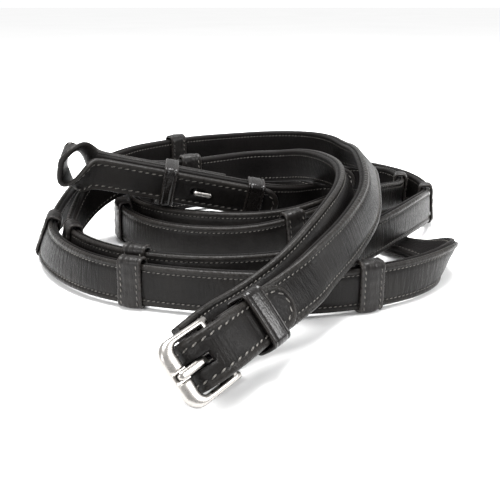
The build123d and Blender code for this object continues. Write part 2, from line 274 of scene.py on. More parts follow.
def new_piece(name, vertices, faces, materials=(), uvs=None, wear=None, face_materials=None):
    """A smooth-shaded piece with its leather map, its weight for wear and painted highlight, and its
    faces outward.
    """
    mesh = bpy.data.meshes.new(name)
    mesh.from_pydata([tuple(v) for v in vertices], [], faces)
    if uvs:
        layer = mesh.uv_layers.new(name="leather")
        flat = [value for corner in uvs for value in corner]
        layer.data.foreach_set("uv", flat)
    if wear:
        mesh.attributes.new("wear", "FLOAT", "POINT").data.foreach_set("value", wear)
    for material in materials:
        mesh.materials.append(material)
    if face_materials:
        mesh.polygons.foreach_set("material_index", face_materials)
    mesh.polygons.foreach_set("use_smooth", [True] * len(mesh.polygons))
    piece = bpy.data.objects.new(name, mesh)
    bpy.context.collection.objects.link(piece)
    return piece


def tidy_mesh(piece, merge=1e-6, fill=False):
    """Joins a piece's doubles, closes its open end and turns its faces outward."""
    shape = bmesh.new()
    shape.from_mesh(piece.data)
    bmesh.ops.remove_doubles(shape, verts=shape.verts, dist=merge)
    bmesh.ops.dissolve_degenerate(shape, dist=merge, edges=shape.edges)
    if fill:
        open_edges = [edge for edge in shape.edges if edge.is_boundary]
        for face in bmesh.ops.holes_fill(shape, edges=open_edges, sides=0)["faces"]:
            face.smooth = False
    bmesh.ops.recalc_face_normals(shape, faces=shape.faces)
    shape.to_mesh(piece.data)
    shape.free()
    piece.data.update()
    return piece


def swept(name, run, distances, outline, materials, zones=None, scale=None):
    """A closed outline of (width, out, weight of wear and painted highlight) carried along a run, flat at
    both ends.

    zones gives each stretch of the outline its material's number. scale gives the outline's
    width and thickness at a distance.
    """
    across = [0.0]
    around = [*outline, outline[0]]
    for (w0, n0, _), (w1, n1, _) in zip(around, around[1:]):
        across.append(across[-1] + hypot(w1 - w0, n1 - n0))
    vertices, wear = [], []
    for distance in distances:
        centre, width, outward, _ = run.at(distance)
        wide, thick = scale(distance) if scale else (1.0, 1.0)
        for w, n, worn_and_highlit in outline:
            vertices.append(centre + width * (w * wide) + outward * (n * thick))
            wear.append(worn_and_highlit)
    count = len(outline)
    faces, uvs, numbers = [], [], []
    for i in range(len(distances) - 1):
        for j in range(count):
            k = (j + 1) % count
            faces.append((i * count + j, i * count + k, (i + 1) * count + k, (i + 1) * count + j))
            near, far = distances[i], distances[i + 1]
            uvs += [(near, across[j]), (near, across[j + 1]), (far, across[j + 1]), (far, across[j])]
            numbers.append(zones[j] if zones else 0)
    for start in (0, (len(distances) - 1) * count):
        faces.append(tuple(range(start, start + count)))
        uvs += [(w, n) for w, n, _ in outline]
        numbers.append(0)
    piece = new_piece(name, vertices, faces, materials, uvs, wear, numbers)
    piece.data.polygons[-1].use_smooth = piece.data.polygons[-2].use_smooth = False
    return tidy_mesh(piece)


def border(start, half_width, end, step=0.0015, arc=18):
    """Stations round a leather end: (distance, width, inward distance, inward width, middle).

    The leather's rounded tip is at start and its plain cut at end.
    """
    middle = start + half_width
    count = max(2, int((end - middle) / step))
    side = [end - (end - middle) * i / count for i in range(count)]
    stations = [(d, half_width, 0.0, -1.0, d) for d in side]
    for i in range(arc + 1):
        turn = pi / 2 - pi * i / arc
        stations.append((middle - half_width * cos(turn), half_width * sin(turn),
                         cos(turn), -sin(turn), middle))
    stations += [(d, -half_width, 0.0, 1.0, d) for d in reversed(side)]
    return stations


def leather_end(name, run, start, end, half_width, section, materials):
    """A leather strip with a rounded tip and an edge that follows its outline.

    section is a list of (distance in from the edge, out, weight of wear and painted highlight)
    from the middle of its visible face, over the edge, to the middle of its back.
    """
    stations = border(start, half_width, end)
    depth = [0.0]
    for (q0, n0, _), (q1, n1, _) in zip(section, section[1:]):
        depth.append(depth[-1] + hypot(q1 - q0, n1 - n0))
    vertices, wear, places = [], [], []
    for d, w, into_d, into_w, middle in stations:
        for (q, n, worn_and_highlit), deep in zip(section, depth):
            vertices.append(run.point(d + q * into_d, w + q * into_w, n))
            wear.append(worn_and_highlit)
            places.append((middle - into_d * deep, -into_w * deep))
    count = len(section)
    faces, uvs = [], []
    for i in range(len(stations) - 1):
        for j in range(count - 1):
            corners = (i * count + j, i * count + j + 1, (i + 1) * count + j + 1, (i + 1) * count + j)
            faces.append(corners)
            uvs += [places[c] for c in corners]
    piece = new_piece(name, vertices, faces, materials, uvs, wear)
    return tidy_mesh(piece, fill=True)


def ring_outline(half_width, low, high, radius, bulge=0.0):
    """Points (width, out, and the way out of the ring there) round a rounded rectangle."""
    corners = [(half_width - radius, high - radius, 0), (-half_width + radius, high - radius, 90),
               (-half_width + radius, low + radius, 180), (half_width - radius, low + radius, 270)]
    points = []
    for number, (w, n, first) in enumerate(corners):
        for i in range(7):
            turn = radians(first + 15 * i)
            points.append((w + radius * cos(turn), n + radius * sin(turn), cos(turn), sin(turn)))
        w1, n1, second = corners[(number + 1) % 4]
        turn = radians(first + 90)
        a = Vector((w + radius * cos(turn), n + radius * sin(turn)))
        b = Vector((w1 + radius * cos(turn), n1 + radius * sin(turn)))
        steps = max(2, int((b - a).length / (0.8 * MM)))
        for i in range(1, steps):
            here = a.lerp(b, i / steps)
            swell = bulge * sin(pi * i / steps)
            points.append((here.x + cos(turn) * swell, here.y + sin(turn) * swell,
                           cos(turn), sin(turn)))
    return points


def leather_ring(name, point_at, ring, band, materials, crease=0.0, seed=0.0):
    """A leather loop: its band of (along, rise, weight of wear and painted highlight) carried round the
    ring.

    point_at(along, width, out) gives a place. crease is how much the leather ruckles.
    """
    run_round, run_over = [0.0], [0.0]
    for a, b in zip(ring, [*ring[1:], ring[0]]):
        run_round.append(run_round[-1] + hypot(b[0] - a[0], b[1] - a[1]))
    for a, b in zip(band, [*band[1:], band[0]]):
        run_over.append(run_over[-1] + hypot(b[0] - a[0], b[1] - a[1]))
    top = max(rise for _, rise, _ in band)
    vertices, wear = [], []
    for w, n, out_w, out_n in ring:
        for along, rise, worn_and_highlit in band:
            if crease and rise > 0.3 * top:
                spot = Vector((along * 160 + seed, w * 420, n * 420 + seed))
                rise += crease * noise.noise(spot)
            vertices.append(point_at(along, w + out_w * rise, n + out_n * rise))
            wear.append(worn_and_highlit)
    count, turns = len(band), len(ring)
    faces, uvs = [], []
    for i in range(turns):
        for j in range(count):
            a, b = i * count, ((i + 1) % turns) * count
            k = (j + 1) % count
            faces.append((a + j, b + j, b + k, a + k))
            uvs += [(run_over[j], run_round[i]), (run_over[j], run_round[i + 1]),
                    (run_over[j + 1], run_round[i + 1]), (run_over[j + 1], run_round[i])]
    return tidy_mesh(new_piece(name, vertices, faces, materials, uvs, wear))


def cut(piece, cutter):
    """Takes one closed mesh out of another and removes the cutter."""
    combine(piece, cutter, "DIFFERENCE")


def combine(piece, other, operation):
    change = piece.modifiers.new("combine", "BOOLEAN")
    change.operation, change.object, change.solver = operation, other, "EXACT"
    graph = bpy.context.evaluated_depsgraph_get()
    mesh = bpy.data.meshes.new_from_object(piece.evaluated_get(graph))
    mesh.name = piece.name
    if len(mesh.polygons) < 4:
        raise RuntimeError(f"{piece.name}: the {operation.lower()} left nothing")
    piece.modifiers.remove(change)
    piece.data = mesh
    bpy.data.objects.remove(other)


def prism(name, place, outline, low, high):
    """A closed block whose outline of (x, y) lies in an assembly's plane, from z low to high."""
    count = len(outline)
    vertices = [place.at(x * MM, y * MM, z * MM) for z in (low, high) for x, y in outline]
    faces = [tuple(range(count)), tuple(range(count, 2 * count))]
    faces += [(i, (i + 1) % count, count + (i + 1) % count, count + i) for i in range(count)]
    piece = new_piece(name, vertices, faces)
    piece.data.polygons.foreach_set("use_smooth", [False] * len(piece.data.polygons))
    return tidy_mesh(piece)


def block(start, end, half_width):
    """Corners of a rectangle from start to end along x."""
    return [(start, -half_width), (end, -half_width), (end, half_width), (start, half_width)]


def slot_outline(middle, length, width, arc=8):
    """Points round a slot whose length runs along x."""
    reach, radius = (length - width) / 2, width / 2
    points = []
    for side, first in ((1, -90), (-1, 90)):
        for i in range(arc + 1):
            turn = radians(first + 180 * i / arc)
            points.append((middle + side * reach + radius * cos(turn), radius * sin(turn)))
    return points


def turned(name, place, x, profile, materials, parts=32):
    """A round piece about an assembly's z at x: its profile of (radius, height)."""
    vertices, faces = [], []
    for i in range(parts):
        turn = 2 * pi * i / parts
        vertices += [place.at((x + r * cos(turn)) * MM, r * sin(turn) * MM, z * MM) for r, z in profile]
    count = len(profile)
    for i in range(parts):
        for j in range(count - 1):
            a, b = i * count, ((i + 1) % parts) * count
            faces.append((a + j, b + j, b + j + 1, a + j + 1))
    return tidy_mesh(new_piece(name, vertices, faces, materials))


# ---------------------------------------------------------------- nodes and materials


def linear(code):
    """Linear colour of an sRGB hex code."""
    shares = [int(code[i:i + 2], 16) / 255 for i in (1, 3, 5)]
    return [s / 12.92 if s <= 0.04045 else ((s + 0.055) / 1.055) ** 2.4 for s in shares]


def add(tree, kind, links=None, settings=None, values=None):
    """Adds a node: its properties, the values of its inputs and the links into them."""
    node = tree.nodes.new(kind)
    for key, value in (settings or {}).items():
        setattr(node, key, value)
    for key, value in (values or {}).items():
        node.inputs[key].default_value = value
    for key, source in (links or {}).items():
        tree.links.new(source, node.inputs[key])
    return node


def new_material(name):
    material = bpy.data.materials.new(name)
    material.use_nodes = True
    tree = material.node_tree
    tree.nodes.clear()
    shader = add(tree, "ShaderNodeBsdfPrincipled")
    add(tree, "ShaderNodeOutputMaterial", {"Surface": shader.outputs["BSDF"]})
    return material, tree, shader


def leather_material(name, colour, worn_and_highlit, roughness, gloss, grain_mm, grain_depth_mm, crease_depth_mm):
    """Leather: pebbled grain, creases over the width, uneven dye, and polished edges painted paler,
    partly as wear and partly as a painted highlight on the rolled beads.
    """
    material, tree, shader = new_material(name)
    place = add(tree, "ShaderNodeUVMap", settings={"uv_map": "leather"}).outputs["UV"]
    # Weight of the paler edge colour: real edge wear, and a painted highlight on the rolled beads.
    wear = add(tree, "ShaderNodeAttribute", settings={"attribute_name": "wear"}).outputs["Fac"]
    # Pores: cells about as wide as the grain of calf or cow leather.
    pores = add(tree, "ShaderNodeTexVoronoi", {"Vector": place},
                {"voronoi_dimensions": "2D", "feature": "F1"},
                {"Scale": 1 / (grain_mm * MM), "Randomness": 1.0})
    fine = add(tree, "ShaderNodeTexNoise", {"Vector": place}, {"noise_dimensions": "2D"},
               {"Scale": 1 / (2.5 * grain_mm * MM), "Detail": 4.0, "Roughness": 0.6})
    # Creases cross the strap every 1.5 mm or so, where it has been bent.
    across = add(tree, "ShaderNodeMapping", {"Vector": place}, values={"Scale": (650.0, 110.0, 1.0)})
    creases = add(tree, "ShaderNodeTexNoise", {"Vector": across.outputs["Vector"]},
                  {"noise_dimensions": "2D"}, {"Scale": 1.0, "Detail": 3.0, "Roughness": 0.55})
    patches = add(tree, "ShaderNodeTexNoise", {"Vector": place}, {"noise_dimensions": "2D"},
                  {"Scale": 45.0, "Detail": 3.0, "Roughness": 0.5})
    uneven = add(tree, "ShaderNodeMapRange", {"Value": patches.outputs["Fac"]},
                 values={"From Min": 0.35, "From Max": 0.7, "To Min": 0.0, "To Max": 0.35})
    rubbed_and_highlit = add(tree, "ShaderNodeMath", {0: wear, 1: fine.outputs["Fac"]}, {"operation": "MULTIPLY"})
    amount = add(tree, "ShaderNodeMath", {0: uneven.outputs["Result"], 1: rubbed_and_highlit.outputs[0]},
                 {"operation": "ADD", "use_clamp": True})
    # Base colour: uneven dye, with the paler edge colour painted on the beads as wear and as a painted
    # highlight.
    dye_and_highlight = add(tree, "ShaderNodeMix", {"Factor": amount.outputs[0]}, {"data_type": "RGBA"},
              {"A": (*colour, 1), "B": (*worn_and_highlit, 1)})
    tree.links.new(dye_and_highlight.outputs["Result"], shader.inputs["Base Color"])
    rough = add(tree, "ShaderNodeMapRange", {"Value": fine.outputs["Fac"]},
                values={"From Min": 0.3, "From Max": 0.7,
                        "To Min": roughness - 0.06, "To Max": roughness + 0.08})
    polished = add(tree, "ShaderNodeMath", {0: wear, 2: rough.outputs["Result"]},
                   {"operation": "MULTIPLY_ADD"}, {1: -0.1})
    tree.links.new(polished.outputs[0], shader.inputs["Roughness"])
    shader.inputs["Specular IOR Level"].default_value = gloss
    pebble = add(tree, "ShaderNodeBump", {"Height": pores.outputs["Distance"]},
                 values={"Strength": 1.0, "Distance": grain_depth_mm * MM})
    lines = add(tree, "ShaderNodeBump",
                {"Height": creases.outputs["Fac"], "Normal": pebble.outputs["Normal"]},
                values={"Strength": 1.0, "Distance": crease_depth_mm * MM})
    tree.links.new(lines.outputs["Normal"], shader.inputs["Normal"])
    return material


def thread_material():
    """Waxed linen thread, hand-stitched: two strands twisted, a little lighter than the leather."""
    material, tree, shader = new_material("Waxed linen thread")
    place = add(tree, "ShaderNodeTexCoord").outputs["Object"]
    # The twist repeats every 0.4 mm in real thread; 0.6 mm shows.
    strands = add(tree, "ShaderNodeTexWave", {"Vector": place}, {"bands_direction": "DIAGONAL"},
                  {"Scale": 260.0, "Distortion": 1.0})
    tone = add(tree, "ShaderNodeMix", {"Factor": strands.outputs["Fac"]}, {"data_type": "RGBA"},
               {"A": (*linear("#302e2b"), 1), "B": (*linear("#5a5752"), 1)})
    tree.links.new(tone.outputs["Result"], shader.inputs["Base Color"])
    shader.inputs["Roughness"].default_value = 0.6
    bump = add(tree, "ShaderNodeBump", {"Height": strands.outputs["Fac"]},
               values={"Distance": 0.05 * MM})
    tree.links.new(bump.outputs["Normal"], shader.inputs["Normal"])
    return material


def webbing_material():
    """Woven nylon webbing, seen as a dull line between the leathers: a rib every 1 mm."""
    material, tree, shader = new_material("Woven nylon webbing")
    place = add(tree, "ShaderNodeUVMap", settings={"uv_map": "leather"}).outputs["UV"]
    ribs = add(tree, "ShaderNodeTexWave", {"Vector": place}, {"bands_direction": "X"},
               {"Scale": 314.0, "Distortion": 0.4})
    tone = add(tree, "ShaderNodeMix", {"Factor": ribs.outputs["Fac"]}, {"data_type": "RGBA"},
               {"A": (*linear("#070707"), 1), "B": (*linear("#1d1c1b"), 1)})
    tree.links.new(tone.outputs["Result"], shader.inputs["Base Color"])
    shader.inputs["Roughness"].default_value = 0.85
    shader.inputs["Specular IOR Level"].default_value = 0.2
    bump = add(tree, "ShaderNodeBump", {"Height": ribs.outputs["Fac"]}, values={"Distance": 0.1 * MM})
    tree.links.new(bump.outputs["Normal"], shader.inputs["Normal"])
    return material


def steel_material():
    """Stainless steel, cast and tumbled: satin, with fine scuffs that soften its reflections."""
    material, tree, shader = new_material("Tumbled stainless steel")
    place = add(tree, "ShaderNodeTexCoord").outputs["Object"]
    cloud = add(tree, "ShaderNodeTexNoise", {"Vector": place}, None,
                {"Scale": 350.0, "Detail": 5.0, "Roughness": 0.6})
    rough = add(tree, "ShaderNodeMapRange", {"Value": cloud.outputs["Fac"]},
                values={"From Min": 0.3, "From Max": 0.7, "To Min": 0.22, "To Max": 0.36})
    tree.links.new(rough.outputs["Result"], shader.inputs["Roughness"])
    tone = add(tree, "ShaderNodeMix", {"Factor": cloud.outputs["Fac"]}, {"data_type": "RGBA"},
               {"A": (*linear("#8a8784"), 1), "B": (*linear("#a4a19d"), 1)})
    tree.links.new(tone.outputs["Result"], shader.inputs["Base Color"])
    shader.inputs["Metallic"].default_value = 1.0
    # Scuffs 0.3 mm apart, left by the tumbling.
    scuffs = add(tree, "ShaderNodeTexNoise", {"Vector": place}, None,
                 {"Scale": 2500.0, "Detail": 2.0})
    bump = add(tree, "ShaderNodeBump", {"Height": scuffs.outputs["Fac"]},
               values={"Distance": 0.01 * MM})
    tree.links.new(bump.outputs["Normal"], shader.inputs["Normal"])
    return material


def floor_material():
    """Matt white paper, with a faint unevenness."""
    material, tree, shader = new_material("White paper")
    place = add(tree, "ShaderNodeTexCoord").outputs["Object"]
    cloud = add(tree, "ShaderNodeTexNoise", {"Vector": place}, None, {"Scale": 3.0})
    tone = add(tree, "ShaderNodeMix", {"Factor": cloud.outputs["Fac"]}, {"data_type": "RGBA"},
               {"A": (*linear("#f0f0f0"), 1), "B": (*linear("#f6f6f6"), 1)})
    tree.links.new(tone.outputs["Result"], shader.inputs["Base Color"])
    shader.inputs["Roughness"].default_value = 0.9
    shader.inputs["Specular IOR Level"].default_value = 0.0
    return material


MATERIALS = {}


def finish_of(name):
    """The material of that name, made the first time it is asked for."""
    if name not in MATERIALS:
        MATERIALS[name] = MAKERS[name]()
    return MATERIALS[name]


def face_leather():
    """Bridle leather, dyed and waxed: a low shine that breaks up where it has been bent."""
    dye_and_highlight = bpy.context.scene.reins_leather
    return leather_material("Waxed bridle leather", dye_and_highlight.face, dye_and_highlight.worn_and_highlit, 0.42, 0.11, 0.55, 0.06, 0.28)


def lining_leather():
    """Thinner leather with its grain left open: the dullest of them."""
    return leather_material(
        "Lining leather", linear("#060505"), linear("#161413"), 0.56, 0.07, 0.7, 0.07, 0.12)


def glossy_leather():
    """Bridle leather that has been burnished: smooth, with clear highlights on its creases."""
    return leather_material(
        "Polished bridle leather", linear("#080707"), linear("#201d1b"), 0.24, 0.26, 0.8, 0.03, 0.12)


def soft_leather():
    """Soft calf leather, rubbed by hands: ruckled, and paler on its rolled edges, partly worn and partly
    a painted highlight.
    """
    return leather_material(
        "Soft hand-stop leather", linear("#080707"), linear("#292624"), 0.38, 0.18, 0.6, 0.06, 0.35)


MAKERS = {
    "face": face_leather,
    "lining": lining_leather,
    "glossy": glossy_leather,
    "soft": soft_leather,
    "thread": thread_material,
    "webbing": webbing_material,
    "steel": steel_material,
    "paper": floor_material,
}


# ---------------------------------------------------------------- stitches


def stitch_tree():
    """Geometry nodes that set a slanted stitch every pitch along the edges of a mesh."""
    tree = bpy.data.node_groups.new("Saddle stitching", "GeometryNodeTree")
    tree.interface.new_socket("Geometry", in_out="INPUT", socket_type="NodeSocketGeometry")
    for name, default in (("Pitch", 2.0), ("Length", 1.5), ("Width", 0.5), ("Height", 0.4)):
        socket = tree.interface.new_socket(name, in_out="INPUT", socket_type="NodeSocketFloat")
        socket.default_value = default * MM
    slant = tree.interface.new_socket("Slant", in_out="INPUT", socket_type="NodeSocketFloat")
    slant.default_value = 0.25
    tree.interface.new_socket("Thread", in_out="INPUT", socket_type="NodeSocketMaterial")
    tree.interface.new_socket("Geometry", in_out="OUTPUT", socket_type="NodeSocketGeometry")
    given = add(tree, "NodeGroupInput").outputs
    rows = add(tree, "GeometryNodeMeshToCurve", {"Mesh": given["Geometry"]})
    spaced = add(tree, "GeometryNodeResampleCurve",
                 {"Curve": rows.outputs["Curve"], "Length": given["Pitch"]}, {"mode": "LENGTH"})
    outward = add(tree, "GeometryNodeInputNamedAttribute", None, {"data_type": "FLOAT_VECTOR"},
                  {"Name": "outward"})
    tangent = add(tree, "GeometryNodeInputTangent")
    upright = add(tree, "FunctionNodeAlignRotationToVector",
                  {"Vector": outward.outputs["Attribute"]}, {"axis": "Z"})
    aimed = add(tree, "FunctionNodeAlignRotationToVector",
                {"Rotation": upright.outputs["Rotation"], "Vector": tangent.outputs["Tangent"]},
                {"axis": "X", "pivot_axis": "Z"})
    lean = add(tree, "FunctionNodeAxisAngleToRotation", {"Angle": given["Slant"]}, None,
               {"Axis": (0.0, 0.0, 1.0)})
    slanted = add(tree, "FunctionNodeRotateRotation",
                  {"Rotation": aimed.outputs["Rotation"], "Rotate By": lean.outputs["Rotation"]},
                  {"rotation_space": "LOCAL"})
    bead = add(tree, "GeometryNodeMeshUVSphere", None, None,
               {"Segments": 6, "Rings": 5, "Radius": 0.5})
    size = add(tree, "ShaderNodeCombineXYZ",
               {"X": given["Length"], "Y": given["Width"], "Z": given["Height"]})
    stitch = add(tree, "GeometryNodeTransform",
                 {"Geometry": bead.outputs["Mesh"], "Scale": size.outputs["Vector"]})
    smooth = add(tree, "GeometryNodeSetShadeSmooth", {"Geometry": stitch.outputs["Geometry"]})
    sewn = add(tree, "GeometryNodeInstanceOnPoints",
               {"Points": spaced.outputs["Curve"], "Instance": smooth.outputs["Geometry"],
                "Rotation": slanted.outputs["Rotation"]})
    real = add(tree, "GeometryNodeRealizeInstances", {"Geometry": sewn.outputs["Instances"]})
    coloured = add(tree, "GeometryNodeSetMaterial",
                   {"Geometry": real.outputs["Geometry"], "Material": given["Thread"]})
    add(tree, "NodeGroupOutput", {"Geometry": coloured.outputs["Geometry"]})
    return tree


def stitched(name, rows, pitch, length, width, height, slant):
    """A piece of stitches along rows, each a list of (point, outward direction)."""
    mesh = bpy.data.meshes.new(name)
    points, edges, outs = [], [], []
    for row in rows:
        first = len(points)
        points += [tuple(point) for point, _ in row]
        outs += [value for _, outward in row for value in outward]
        edges += [(first + i, first + i + 1) for i in range(len(row) - 1)]
    mesh.from_pydata(points, edges, [])
    mesh.attributes.new("outward", "FLOAT_VECTOR", "POINT").data.foreach_set("vector", outs)
    guide = bpy.data.objects.new(name + "_rows", mesh)
    bpy.context.collection.objects.link(guide)
    tree = bpy.data.node_groups.get("Saddle stitching") or stitch_tree()
    sewing = guide.modifiers.new("stitches", "NODES")
    sewing.node_group = tree
    sizes = {"Pitch": pitch, "Length": length, "Width": width, "Height": height}
    for item in tree.interface.items_tree:
        if item.in_out != "INPUT":
            continue
        if item.name in sizes:
            sewing[item.identifier] = sizes[item.name] * MM
        elif item.name == "Slant":
            sewing[item.identifier] = slant
        elif item.name == "Thread":
            sewing[item.identifier] = finish_of("thread")
    bpy.context.view_layer.update()
    graph = bpy.context.evaluated_depsgraph_get()
    made = bpy.data.meshes.new_from_object(guide.evaluated_get(graph))
    if not made.polygons:
        raise RuntimeError(f"{name}: no stitches were made")
    made.name = name
    bpy.data.objects.remove(guide)
    piece = bpy.data.objects.new(name, made)
    bpy.context.collection.objects.link(piece)
    return piece


def belongs(piece, body):
    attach(piece, body)
    return piece


# ---------------------------------------------------------------- settings


class REINS_PG_strap(bpy.types.PropertyGroup):
    width: FloatProperty(
        name="Width", description="Width of a strap", default=0.016, min=0.01, max=0.025,
        unit="LENGTH")
    thickness: FloatProperty(
        name="Thickness", description="Both leathers and the webbing between them",
        default=0.004, min=0.002, max=0.006, unit="LENGTH")
    stitch_pitch: FloatProperty(
        name="Stitch spacing", description="From one stitch of the strap to the next",
        default=0.0019, min=0.001, max=0.006, unit="LENGTH")
    stop_length: FloatProperty(
        name="Hand stop length", description="Length of a hand stop along the strap",
        default=0.0095, min=0.004, max=0.02, unit="LENGTH")


class REINS_PG_ends(bpy.types.PropertyGroup):
    billet_width: FloatProperty(
        name="Billet width", description="Width of the folded leather ends", default=0.015,
        min=0.01, max=0.024, unit="LENGTH")
    billet_thickness: FloatProperty(
        name="Billet thickness", description="Thickness of the folded leather ends",
        default=0.0026, min=0.0015, max=0.004, unit="LENGTH")
    stitch_pitch: FloatProperty(
        name="Stitch spacing", description="From one stitch of a billet to the next",
        default=0.003, min=0.0015, max=0.006, unit="LENGTH")


class REINS_PG_leather(bpy.types.PropertyGroup):
    face: FloatVectorProperty(
        name="Leather", description="Dye of the leather", subtype="COLOR", size=3,
        default=linear("#080707"), min=0, max=1)
    # The rubbed colour also paints the highlights on the rolled edges.
    worn_and_highlit: FloatVectorProperty(
        name="Worn leather", description="Dye where the leather is rubbed", subtype="COLOR",
        size=3, default=linear("#201e1c"), min=0, max=1)


class REINS_PG_stage(bpy.types.PropertyGroup):
    key_power: FloatProperty(
        name="Main light", description="Power of the soft light overhead, in watts", default=16,
        min=0, max=500)
    world: FloatProperty(
        name="Surroundings", description="Brightness of the white surroundings", default=1.05,
        min=0, max=5)


# ---------------------------------------------------------------- the pieces


def mirrored(half_outline):
    """A whole (width, out, weight of wear and painted highlight) outline side from its half, which ends
    on the middle.
    """
    return [*half_outline, *[(-w, n, worn_and_highlit) for w, n, worn_and_highlit in reversed(half_outline[:-1])]]


def strap_outline(width, thickness):
    """Cross-section of a strap: rolled edges, a sunk line where it is sewn, a padded middle."""
    edge, top = width / 2, thickness / 2
    # The third number of each point weights the paler edge colour: wear, and a painted highlight on the
    # rolled beads.
    face = [(edge - 0.65 * MM, 0.3 * MM, 0), (edge - 0.2 * MM, 0.34 * MM, 0.2),
            (edge, 0.75 * MM, 0.6), (edge, 1.15 * MM, 0.9), (edge - 0.22 * MM, 1.6 * MM, 1),
            (edge - 0.6 * MM, top - 0.08 * MM, 1), (edge - 1.1 * MM, top + 0.05 * MM, 1),
            (edge - 1.65 * MM, top - 0.03 * MM, 0.6), (edge - 2.05 * MM, top - 0.25 * MM, 0.1),
            (edge - 2.35 * MM, top - 0.42 * MM, 0), (edge - 2.7 * MM, top - 0.36 * MM, 0),
            (edge - 3.2 * MM, top - 0.12 * MM, 0.1), (edge - 4.2 * MM, top + 0.03 * MM, 0.15),
            (edge - 5.8 * MM, top + 0.08 * MM, 0.1), (0, top + 0.1 * MM, 0.05)]
    back = [(edge - 0.65 * MM, -0.3 * MM, 0), (edge - 0.2 * MM, -0.34 * MM, 0.2),
            (edge - 0.02 * MM, -0.75 * MM, 0.5), (edge - 0.1 * MM, -1.3 * MM, 0.7),
            (edge - 0.45 * MM, -top + 0.2 * MM, 0.7), (edge - 1.0 * MM, -top + 0.03 * MM, 0.5),
            (edge - 1.8 * MM, -top + 0.02 * MM, 0.2), (edge - 2.15 * MM, -top + 0.12 * MM, 0),
            (edge - 2.45 * MM, -top + 0.2 * MM, 0), (edge - 2.75 * MM, -top + 0.14 * MM, 0),
            (edge - 3.3 * MM, -top + 0.02 * MM, 0.1), (edge - 5.5 * MM, -top, 0.05), (0, -top, 0)]
    front, rear = mirrored(face), mirrored(back)
    outline = [*front, *reversed(rear)]
    zones = [0] * (len(front) - 1) + [2] + [1] * (len(rear) - 1) + [2]
    return outline, zones


class REINS_OT_straps(bpy.types.Operator):
    """Two padded straps, each two leathers sewn over webbing, along their routes"""

    bl_idname = "reins.straps"
    bl_label = "Straps"

    def execute(self, context):
        size = context.scene.reins_strap
        outline, zones = strap_outline(size.width, size.thickness)
        band = [(w * (size.width / 2 - 0.5 * MM), n * MM, 0) for w, n in
                ((1, -0.33), (1, 0), (1, 0.33), (-1, 0.33), (-1, 0), (-1, -0.33))]
        for half in HALVES:
            run = RUNS[half] = strap_run(half)
            strap = swept(half + "_strap", run, run.along, outline,
                          (finish_of("face"), finish_of("lining"), finish_of("webbing")), zones)
            belongs(strap, "reins")
            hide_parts(half + "_face_leather", half + "_lining")
            web = swept(half + "_web", run, run.between(0.0005, run.length - 0.0005), band,
                        (finish_of("webbing"),))
            belongs(web, "reins")
            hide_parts(half + "_webbing")
        return {"FINISHED"}


def row(run, distances, width, out):
    """Points of a straight line of stitches on a run, with the outward direction at each."""
    side = 1 if out > 0 else -1
    return [(run.point(d, width, out), run.at(d)[2] * side) for d in distances]


class REINS_OT_strap_stitching(bpy.types.Operator):
    """The stitches along both edges of both faces of the straps"""

    bl_idname = "reins.strap_stitching"
    bl_label = "Strap stitches"

    def execute(self, context):
        size = context.scene.reins_strap
        in_from_edge = size.width / 2 - 2.4 * MM
        for half in HALVES:
            run = RUNS[half]
            seen = run.between(0.004, run.length - 0.002)
            rows = [row(run, seen, side * in_from_edge, out)
                    for out in (size.thickness / 2 - 0.32 * MM, -size.thickness / 2 + 0.14 * MM)
                    for side in (1, -1)]
            thread = stitched(half + "_stitches", rows, size.stitch_pitch / MM, 1.45, 0.42, 0.36, 0.2)
            belongs(thread, "reins")
        return {"FINISHED"}


class REINS_OT_hand_stops(bpy.types.Operator):
    """Soft leather loops sewn round the straps, rolled over the top edge"""

    bl_idname = "reins.hand_stops"
    bl_label = "Hand stops"

    def execute(self, context):
        size = context.scene.reins_strap
        reach = size.stop_length / MM / 2
        # The third number weights the paler edge colour: wear, and a painted highlight on the rolled
        # edges.
        band = [(-reach + 0.4, 0.0, 0), (reach - 0.4, 0.0, 0), (reach, 0.3, 0.4),
                (reach, 0.8, 0.9), (reach - 0.35, 1.2, 1), (reach - 0.9, 1.3, 0.6),
                (reach - 1.5, 1.1, 0.1), (reach - 2.1, 1.2, 0.2), (reach - 3.1, 1.35, 0.3),
                (0, 1.4, 0.3), (-reach + 3.1, 1.35, 0.3), (-reach + 2.1, 1.2, 0.2),
                (-reach + 1.5, 1.1, 0.1), (-reach + 0.9, 1.3, 0.6), (-reach + 0.35, 1.2, 1),
                (-reach, 0.8, 0.9), (-reach, 0.3, 0.4)]
        band = [(along * MM, rise * MM, worn_and_highlit) for along, rise, worn_and_highlit in band]
        half_width, half_thick = size.width / 2 + 0.1 * MM, size.thickness / 2 + 0.15 * MM
        ring = ring_outline(half_width, -half_thick, half_thick, 1.2 * MM)
        for half in HALVES:
            run, rows = RUNS[half], []
            for number, distance in enumerate(HAND_STOPS[half], 1):
                node = f"{half}_hand_stop_{number}"

                def place(along, width, out):
                    return run.point(distance + along, width, out)

                swollen = [(w + max(0.0, w / half_width) ** 3 * 0.9 * MM, n, ow, on)
                           for w, n, ow, on in ring]
                stop = leather_ring(node + "_leather", place, swollen, band,
                                    (finish_of("soft"),), crease=0.32 * MM, seed=7.0 * number)
                belongs(stop, "reins")
                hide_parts(node)
                for along in (-reach * MM + 1.6 * MM, reach * MM - 1.6 * MM):
                    for side in (1, -1):
                        out = side * (half_thick + 1.15 * MM)
                        line = [(w * size.width / 16, out) for w in range(-7, 8)]
                        rows.append([(run.point(distance + along, w, n),
                                      run.at(distance + along)[2] * side) for w, n in line])
            thread = stitched(half + "_stop_stitches", rows, 2.3, 1.7, 0.5, 0.5, 0.2)
            belongs(thread, "reins")
        return {"FINISHED"}


